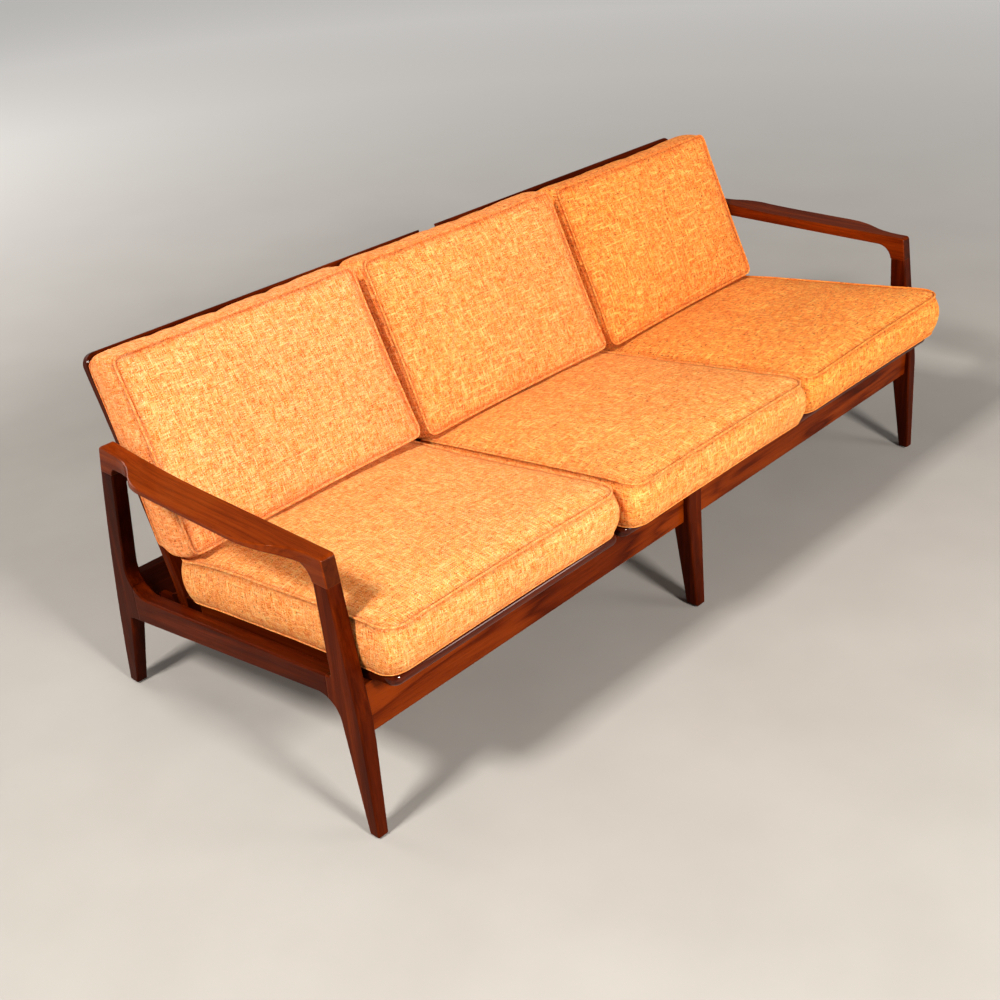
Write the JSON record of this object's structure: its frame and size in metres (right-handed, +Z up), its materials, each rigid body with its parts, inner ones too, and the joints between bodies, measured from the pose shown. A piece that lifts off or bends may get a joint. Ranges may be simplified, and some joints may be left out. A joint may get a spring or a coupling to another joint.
{
  "type": "sofa with wooden legs",
  "caption": "Long sofa with an exposed dark wooden frame, sculpted paddle arms, tapered legs, slatted back frames and loose orange tweed box cushions on webbed seat frames.",
  "frame": {"origin": "on the floor, at the centre of the sofa's outline", "axes": "+X along the length, front at -Y, +Z up"},
  "size_m": [1.91, 0.8143, 0.714],
  "materials": {
    "dark_wood": "satin reddish-brown stain with visible grain",
    "orange_tweed": "heathered orange wool tweed with self-piped seams",
    "foam": "plain cushion foam",
    "rubber_webbing": "matt rubber webbing",
    "steel": "plain steel hardware"
  },
  "bodies": {
    "frame": {"arm_left": "dark_wood", "arm_right": "dark_wood", "back_bolts": "steel", "back_frame_left_bottom_rail": "dark_wood", "back_frame_left_inner_stile": "dark_wood", "back_frame_left_outer_stile": "dark_wood", "back_frame_left_top_rail": "dark_wood", "back_frame_right_bottom_rail": "dark_wood", "back_frame_right_inner_stile": "dark_wood", "back_frame_right_outer_stile": "dark_wood", "back_frame_right_top_rail": "dark_wood", "back_slats_left": "dark_wood", "back_slats_right": "dark_wood", "back_spacers": "dark_wood", "back_stops": "dark_wood", "foot_glides": "steel", "front_leg_left": "dark_wood", "front_leg_right": "dark_wood", "front_rail": "dark_wood", "loose_tenons": "dark_wood", "middle_front_leg": "dark_wood", "middle_rear_leg": "dark_wood", "rear_leg_left": "dark_wood", "rear_leg_right": "dark_wood", "rear_rail": "dark_wood", "seat_bearer_left": "dark_wood", "seat_bearer_right": "dark_wood", "seat_cleat_left": "dark_wood", "seat_cleat_right": "dark_wood", "seat_frame_centre_front": "dark_wood", "seat_frame_centre_rear": "dark_wood", "seat_frame_centre_side_left": "dark_wood", "seat_frame_centre_side_right": "dark_wood", "seat_frame_left_front": "dark_wood", "seat_frame_left_rear": "dark_wood", "seat_frame_left_side_left": "dark_wood", "seat_frame_left_side_right": "dark_wood", "seat_frame_right_front": "dark_wood", "seat_frame_right_rear": "dark_wood", "seat_frame_right_side_left": "dark_wood", "seat_frame_right_side_right": "dark_wood", "side_rail_left": "dark_wood", "side_rail_right": "dark_wood", "webbing_centre": "rubber_webbing", "webbing_left": "rubber_webbing", "webbing_right": "rubber_webbing"},
    "left_seat_cushion": {"seat_cushion_left": "orange_tweed", "seat_cushion_left_foam": "foam"},
    "centre_seat_cushion": {"seat_cushion_centre": "orange_tweed", "seat_cushion_centre_foam": "foam"},
    "right_seat_cushion": {"seat_cushion_right": "orange_tweed", "seat_cushion_right_foam": "foam"},
    "left_back_cushion": {"back_cushion_left": "orange_tweed", "back_cushion_left_foam": "foam"},
    "centre_back_cushion": {"back_cushion_centre": "orange_tweed", "back_cushion_centre_foam": "foam"},
    "right_back_cushion": {"back_cushion_right": "orange_tweed", "back_cushion_right_foam": "foam"}
  },
  "joints": [
    {"name": "left_seat_slide", "type": "slide", "parent": "frame", "child": "left_seat_cushion", "axis": [0, -0.9917, 0.1288], "range_m": [0, 0.25]},
    {"name": "centre_seat_slide", "type": "slide", "parent": "frame", "child": "centre_seat_cushion", "axis": [0, -0.9917, 0.1288], "range_m": [0, 0.25]},
    {"name": "right_seat_slide", "type": "slide", "parent": "frame", "child": "right_seat_cushion", "axis": [0, -0.9917, 0.1288], "range_m": [0, 0.25]},
    {"name": "left_back_lift", "type": "slide", "parent": "frame", "child": "left_back_cushion", "axis": [0, 0.3665, 0.9304], "range_m": [0, 0.3]},
    {"name": "centre_back_lift", "type": "slide", "parent": "frame", "child": "centre_back_cushion", "axis": [0, 0.3665, 0.9304], "range_m": [0, 0.3]},
    {"name": "right_back_lift", "type": "slide", "parent": "frame", "child": "right_back_cushion", "axis": [0, 0.3665, 0.9304], "range_m": [0, 0.3]}
  ]
}
